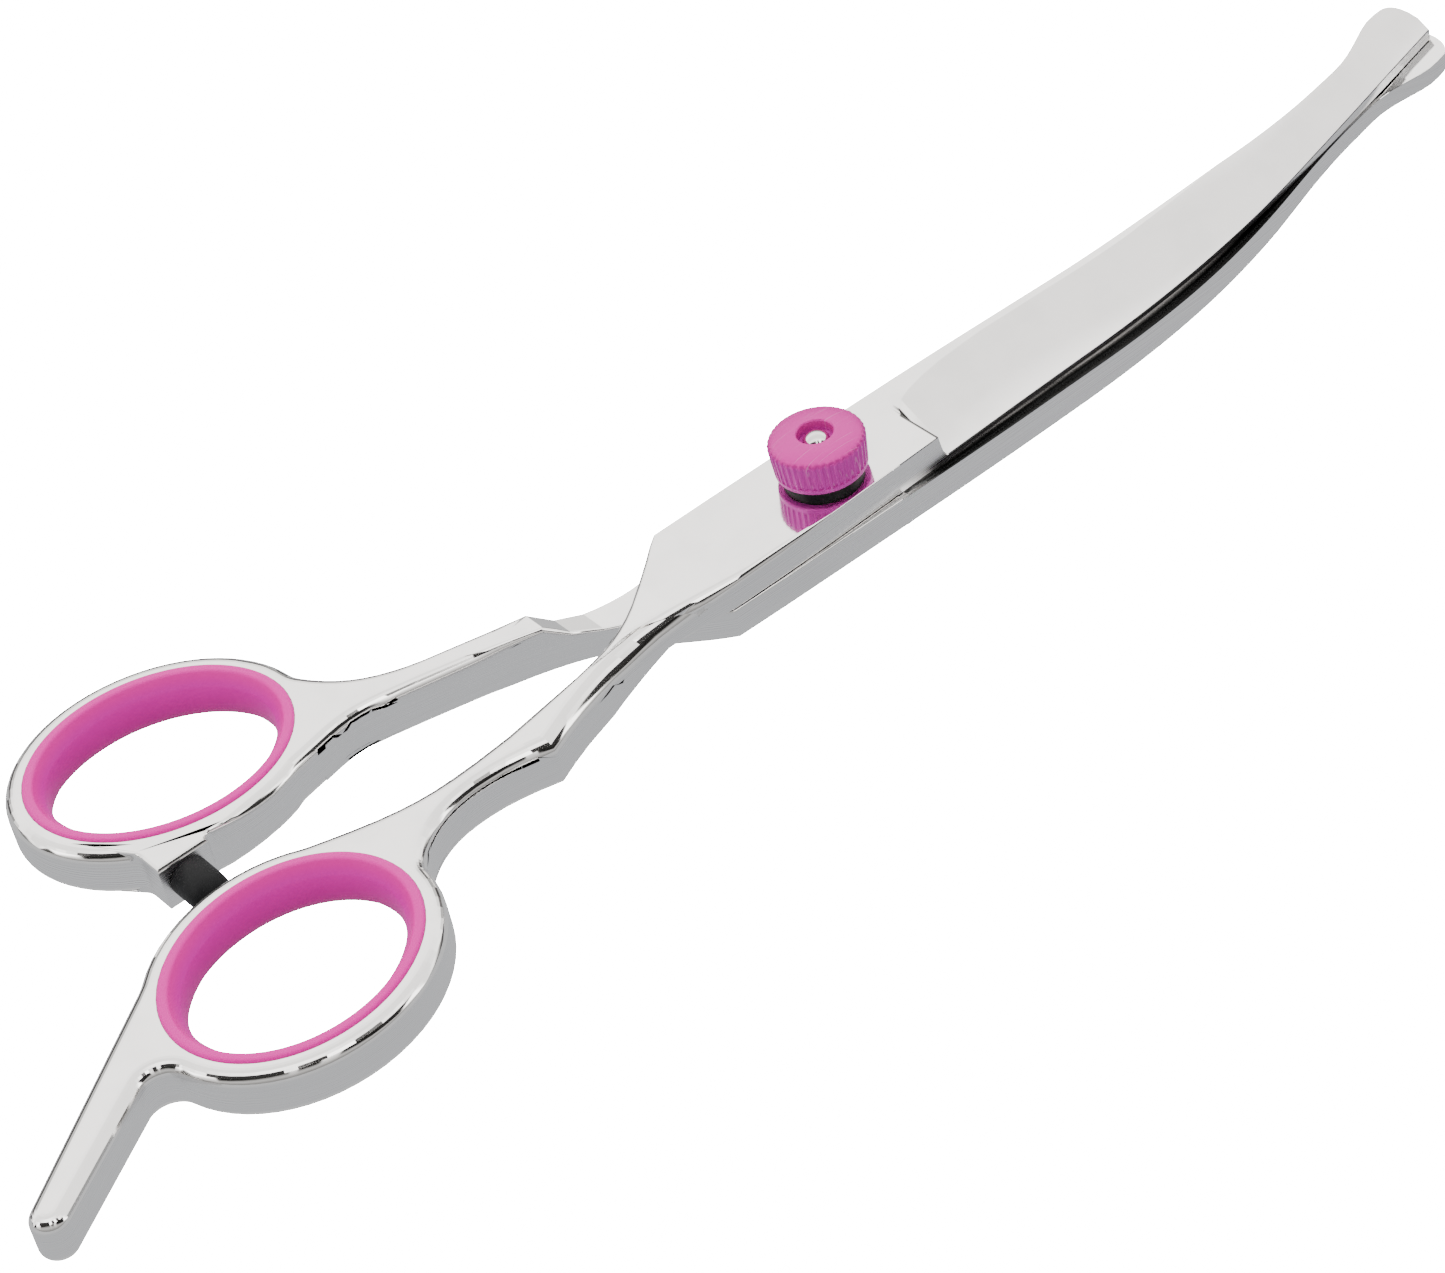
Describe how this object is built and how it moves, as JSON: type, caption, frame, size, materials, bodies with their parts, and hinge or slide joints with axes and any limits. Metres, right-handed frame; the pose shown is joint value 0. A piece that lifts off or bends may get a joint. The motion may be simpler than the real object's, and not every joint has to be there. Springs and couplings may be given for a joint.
{
  "type": "curved grooming shears",
  "caption": "Curved blunt-tipped hair shears with offset oval finger rings, a rest tang, ring inserts, a stop bumper and a knurled tension dial.",
  "frame": {"origin": "on the pivot axis, in the plane that the closed shears lie on", "axes": "+X along the closed blades to the tip, +Z along the pivot axis to the tension dial, +Y to the thumb ring"},
  "size_m": [0.2048, 0.0643, 0.0148],
  "materials": {
    "blade_steel": "mirror polished faces, finely brushed side walls",
    "insert_silicone": "satin",
    "black_rubber": "matt",
    "bolt_steel": "turned and polished",
    "slip_nylon": "matt",
    "bush_bronze": "turned",
    "black_nylon": "matt",
    "spring_steel": "satin",
    "dial_anodised": "anodised, knurled"
  },
  "bodies": {
    "lower": {"lower_blade": "blade_steel", "thumb_insert": "insert_silicone", "bumper": "black_rubber", "pivot_bolt": "bolt_steel", "pivot_disc": "slip_nylon"},
    "upper": {"upper_blade": "blade_steel", "finger_insert": "insert_silicone", "pivot_bush": "bush_bronze", "nylon_washer": "black_nylon"},
    "dial": {"tension_dial": "dial_anodised", "disc_spring": "spring_steel"}
  },
  "joints": [
    {"name": "blade_pivot", "type": "hinge", "parent": "lower", "child": "upper", "pos_m": [0, 0, 0], "axis": [0, 0, 1], "range_deg": [0, 90]},
    {"name": "dial_turn", "type": "hinge", "parent": "lower", "child": "dial", "pos_m": [0, 0, 0], "axis": [0, 0, 1], "range_deg": [-90, 360]}
  ]
}
